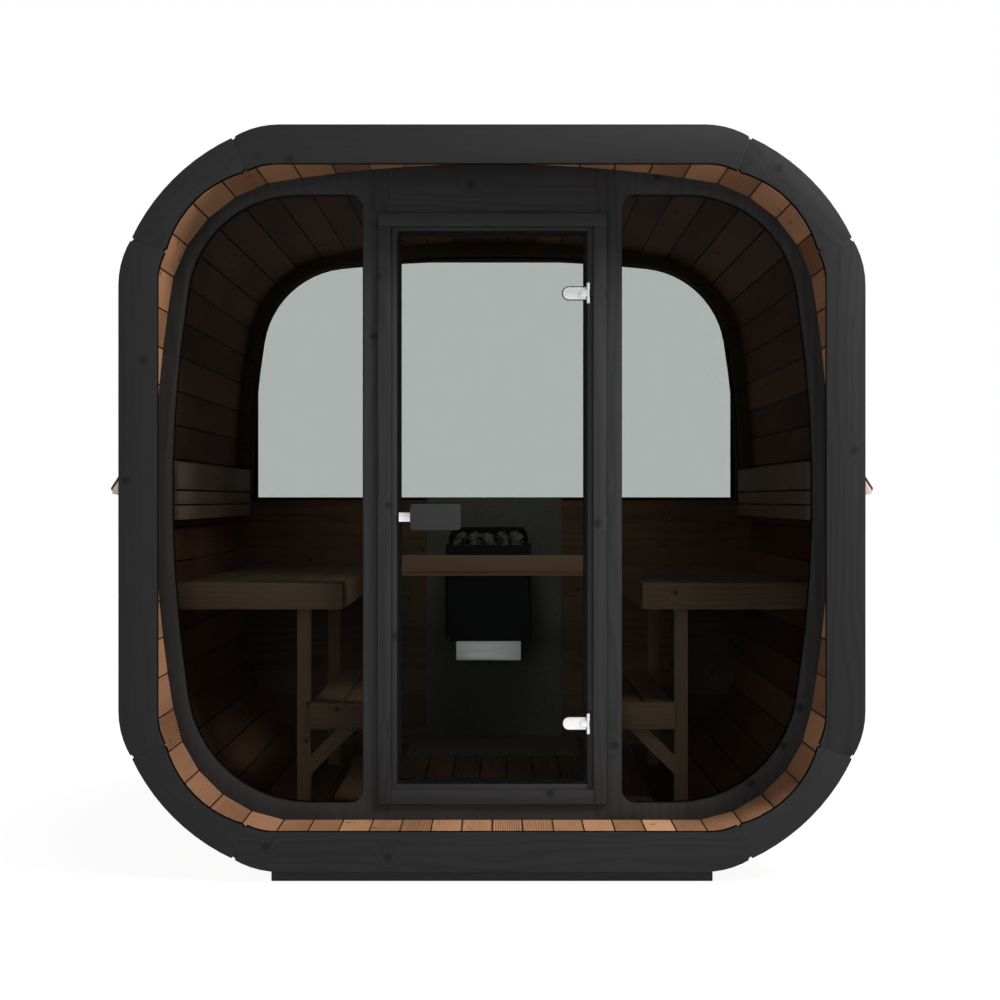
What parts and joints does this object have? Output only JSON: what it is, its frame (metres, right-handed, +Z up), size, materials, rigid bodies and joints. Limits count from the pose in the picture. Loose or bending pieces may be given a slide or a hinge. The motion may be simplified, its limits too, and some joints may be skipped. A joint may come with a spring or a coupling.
{
  "type": "outdoor sauna cabin",
  "caption": "Stave-built outdoor sauna cabin with a rounded square section, glazed end walls, a hinged glass door, benches on both sides and a wall-hung heater.",
  "frame": {"origin": "on the ground under the middle of the cabin", "axes": "+X to the right seen from the front, +Y from the front to the rear, +Z up"},
  "size_m": [2.368, 2.057, 2.3493],
  "materials": {
    "stained_wood": "black stained, planed",
    "natural_wood": "thermally browned, planed",
    "bench_wood": "smooth planed",
    "tinted_glass": "clear polished, grey tint",
    "shingle": "mineral grit",
    "steel": "satin",
    "black_steel": "matt black",
    "stone": "rough split",
    "tile": "speckled, matt"
  },
  "bodies": {
    "root": {"base_beams": "stained_wood", "front_wall_left": "stained_wood", "front_wall_right": "stained_wood", "front_wall_header": "stained_wood", "front_wall_sill": "stained_wood", "door_jambs": "stained_wood", "door_rails": "stained_wood", "door_casing_sides": "stained_wood", "door_casing_rails": "stained_wood", "rear_wall_rim": "stained_wood", "front_arch_boards": "stained_wood", "front_arch_corners": "stained_wood", "rear_arch_boards": "stained_wood", "rear_arch_corners": "stained_wood", "window_beads": "stained_wood", "floor_staves": "natural_wood", "left_staves": "natural_wood", "right_staves": "natural_wood", "roof_staves": "natural_wood", "corner_staves": "natural_wood", "rear_wall_lower": "natural_wood", "rear_inner_trim": "natural_wood", "drip_battens": "bench_wood", "upper_bench_slats": "bench_wood", "upper_bench_frames": "bench_wood", "lower_bench_slats": "bench_wood", "lower_bench_frames": "bench_wood", "bench_posts": "bench_wood", "backrests": "bench_wood", "duckboards": "bench_wood", "guard_rail": "bench_wood", "front_window_glass": "tinted_glass", "rear_window_glass": "tinted_glass", "roof_covering": "shingle", "steel_bands": "steel", "hinge_plates": "steel", "floor_plate": "tile", "heater_panel": "tile", "heater_body": "black_steel", "heater_stones": "stone", "heater_box": "steel"},
    "door": {"door_glass": "tinted_glass", "door_handle": "stained_wood", "door_latch": "steel", "hinge_clamps": "steel"}
  },
  "joints": [
    {"name": "door_hinge", "type": "hinge", "parent": "root", "child": "door", "pos_m": [0.3125, -0.7585, 1.162], "axis": [0, 0, 1], "range_deg": [0, 100]}
  ]
}
